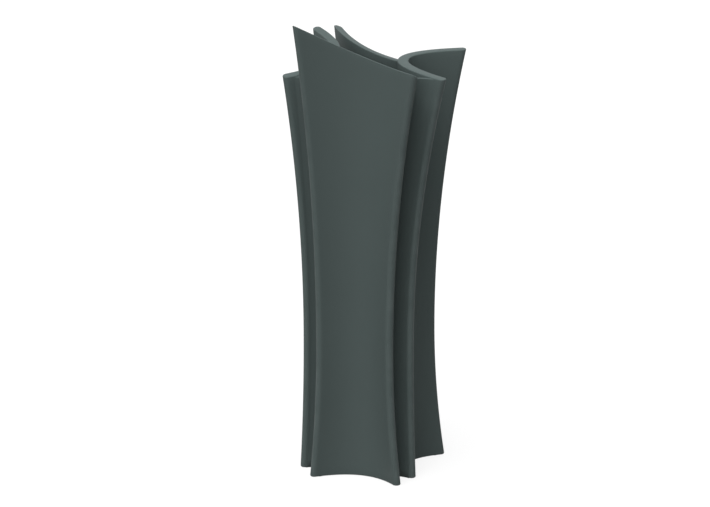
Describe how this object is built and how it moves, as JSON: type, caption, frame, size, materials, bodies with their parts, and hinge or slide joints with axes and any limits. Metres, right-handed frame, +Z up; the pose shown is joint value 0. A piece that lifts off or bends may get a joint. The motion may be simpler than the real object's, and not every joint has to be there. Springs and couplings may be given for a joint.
{
  "type": "tall planter",
  "caption": "Tall free-standing planter of curved upright sheets that flare at crown and foot, with grooved corners, sloping rims and a lift-out watering liner.",
  "frame": {"origin": "centre of the bounding box on the floor", "axes": "+Z up, front sheet towards -Y, right sheet towards +X"},
  "size_m": [0.5341, 0.4823, 1.4027],
  "materials": {
    "moulded_shell": "satin moulded plastic, dark grey green",
    "black_plate": "matt black plastic sheet",
    "pad_rubber": "matt black rubber",
    "insert_brass": "plain brass",
    "zinc_steel": "zinc plated",
    "ballast_iron": "rough cast",
    "liner_plastic": "matt black moulded plastic",
    "handle_steel": "drawn stainless wire",
    "grid_plastic": "matt dark grey moulded plastic",
    "tube_plastic": "milky moulded plastic",
    "float_plastic": "glossy red plastic",
    "cap_plastic": "satin dark grey plastic",
    "seal_rubber": "soft black rubber"
  },
  "bodies": {
    "planter": {"front_sheet": "moulded_shell", "right_sheet": "moulded_shell", "back_sheet": "moulded_shell", "left_sheet": "moulded_shell", "post_front_right": "moulded_shell", "post_back_right": "moulded_shell", "post_back_left": "moulded_shell", "post_front_left": "moulded_shell", "sheet_bolts": "zinc_steel", "foot_pads": "pad_rubber", "base_plate": "black_plate", "base_inserts": "insert_brass", "base_screws": "zinc_steel", "ballast_block": "ballast_iron", "shelf": "black_plate", "shelf_inserts": "insert_brass", "shelf_screws": "zinc_steel"},
    "liner": {"liner": "liner_plastic"},
    "handle_front": {"handle_front": "handle_steel"},
    "handle_back": {"handle_back": "handle_steel"},
    "grid": {"drain_grid": "grid_plastic", "gauge_tube": "tube_plastic"},
    "float": {"gauge_float": "float_plastic"},
    "cap": {"gauge_cap": "cap_plastic"},
    "plug": {"drain_plug": "cap_plastic", "drain_plug_seal": "seal_rubber"}
  },
  "joints": [
    {"name": "liner_lift", "type": "slide", "parent": "planter", "child": "liner", "axis": [0, 0, 1], "range_m": [0, 0.56]},
    {"name": "handle_front_fold", "type": "hinge", "parent": "liner", "child": "handle_front", "pos_m": [0.0219, -0.11051, 1.134], "axis": [1, 0, 0], "range_deg": [0, 100]},
    {"name": "handle_back_fold", "type": "hinge", "parent": "liner", "child": "handle_back", "pos_m": [-0.03038, 0.07296, 1.134], "axis": [-1, 0, 0], "range_deg": [0, 100]},
    {"name": "grid_lift", "type": "slide", "parent": "liner", "child": "grid", "axis": [0, 0, 1], "range_m": [0, 0.19]},
    {"name": "float_rise", "type": "slide", "parent": "grid", "child": "float", "axis": [0, 0, 1], "range_m": [0, 0.048]},
    {"name": "cap_lift", "type": "slide", "parent": "grid", "child": "cap", "axis": [0, 0, 1], "range_m": [0, 0.03]},
    {"name": "plug_lift", "type": "slide", "parent": "liner", "child": "plug", "axis": [0, 0, 1], "range_m": [0, 0.025]}
  ]
}
